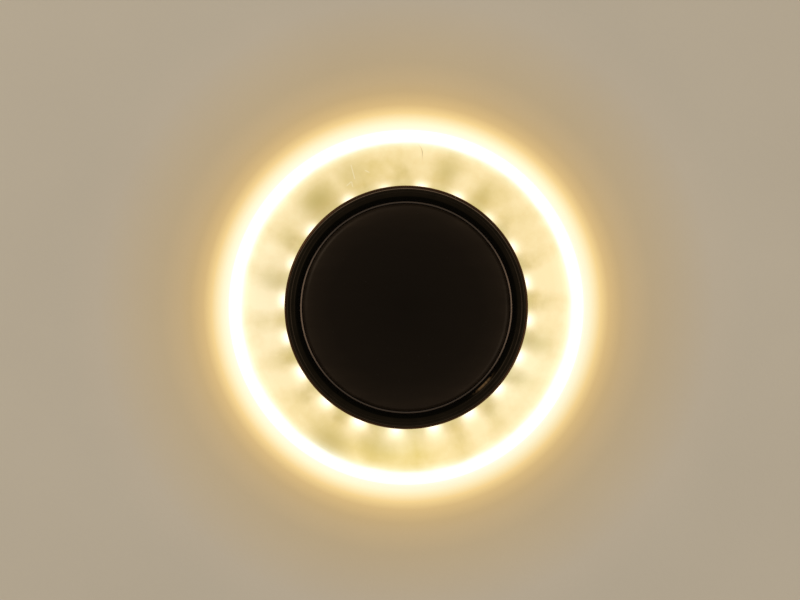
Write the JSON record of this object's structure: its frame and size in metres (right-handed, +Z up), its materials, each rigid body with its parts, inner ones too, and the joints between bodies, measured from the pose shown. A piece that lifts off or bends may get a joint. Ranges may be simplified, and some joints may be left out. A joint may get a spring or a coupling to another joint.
{
  "type": "recessed ceiling spotlight",
  "caption": "Round recessed ceiling spotlight: bayonet disc lamp in a dark bezel, frosted ring lit from its inner edge, steel cup with two sprung clips, terminals and a ring driver.",
  "frame": {"origin": "centre of the seat plate's upper face, in the plane of the ceiling's underside", "axes": "+Z up through the ceiling along the light's axis, so the lamp shines toward -Z; +X toward the right-hand clip; +Y toward the ring driver"},
  "size_m": [0.1718, 0.127, 0.0418],
  "materials": {
    "zinc_sheet": "pressed zinc-plated steel sheet",
    "zinc_bright": "bright zinc-plated steel fasteners",
    "clip_steel": "stamped spring steel, nickel-plated",
    "spring_wire": "drawn spring wire, oil-tempered",
    "frosted_acrylic": "frosted acrylic, lit from its inner edge",
    "strip_film": "white flexible circuit film",
    "light_chip": "yellow phosphor in a white chip body",
    "chip_resistor": "black chip resistor",
    "black_chrome": "dark plated ring, glossy",
    "white_moulding": "white heat-resistant moulding",
    "contact_brass": "sprung brass contact",
    "polyamide": "natural polyamide, slightly translucent",
    "driver_plastic": "white fine-textured moulding",
    "board_laminate": "green laminate with parts",
    "black_rubber": "black rubber",
    "silicone_pad": "dark grey silicone",
    "lamp_body": "dark brown lamp housing",
    "dark_lens": "dark glossy lens, unlit",
    "board_aluminium": "bare aluminium circuit board",
    "pin_nickel": "nickel-plated brass pin"
  },
  "bodies": {
    "fixture": {"housing_cup": "zinc_sheet", "seat_plate": "zinc_sheet", "light_ring": "frosted_acrylic", "led_strip": "strip_film", "led_chips": "light_chip", "strip_resistors": "chip_resistor", "bezel_ring": "black_chrome", "lampholder_body": "white_moulding", "lampholder_cover": "white_moulding", "contact_front": "contact_brass", "contact_rear": "contact_brass", "lampholder_screws": "zinc_bright", "lampholder_nuts": "zinc_bright", "bracket_left": "clip_steel", "bracket_right": "clip_steel", "bracket_rivets": "zinc_bright", "clip_pin_left": "zinc_bright", "clip_pin_right": "zinc_bright", "terminal_block": "polyamide", "terminal_sleeves": "contact_brass", "terminal_screws": "zinc_bright", "plate_screws": "zinc_bright", "driver_case": "driver_plastic", "driver_lid": "driver_plastic", "driver_board": "board_laminate", "cable_grommet": "black_rubber", "earth_screw": "contact_brass"},
    "lamp": {"lamp_shell": "lamp_body", "lamp_lens": "dark_lens", "lamp_board": "board_aluminium", "lamp_leds": "light_chip", "lamp_pins": "pin_nickel"},
    "clip_left": {"clip_arm_left": "clip_steel", "clip_pad_left": "silicone_pad", "torsion_spring_left": "spring_wire"},
    "clip_right": {"clip_arm_right": "clip_steel", "clip_pad_right": "silicone_pad", "torsion_spring_right": "spring_wire"}
  },
  "joints": [
    {"name": "lamp_turn", "type": "hinge", "parent": "fixture", "child": "lamp", "pos_m": [0, 0, 0.002], "axis": [0, 0, -1], "range_deg": [0, 15]},
    {"name": "clip_left_swing", "type": "hinge", "parent": "fixture", "child": "clip_left", "pos_m": [-0.0404, 0, 0.012], "axis": [0, 1, 0], "range_deg": [0, 100], "stiffness_Nm_per_rad": 0.06, "springref_deg": -45.84, "deforming": ["torsion_spring_left"]},
    {"name": "clip_right_swing", "type": "hinge", "parent": "fixture", "child": "clip_right", "pos_m": [0.0404, 0, 0.012], "axis": [0, -1, 0], "range_deg": [0, 100], "stiffness_Nm_per_rad": 0.06, "springref_deg": -45.84, "deforming": ["torsion_spring_right"]}
  ]
}
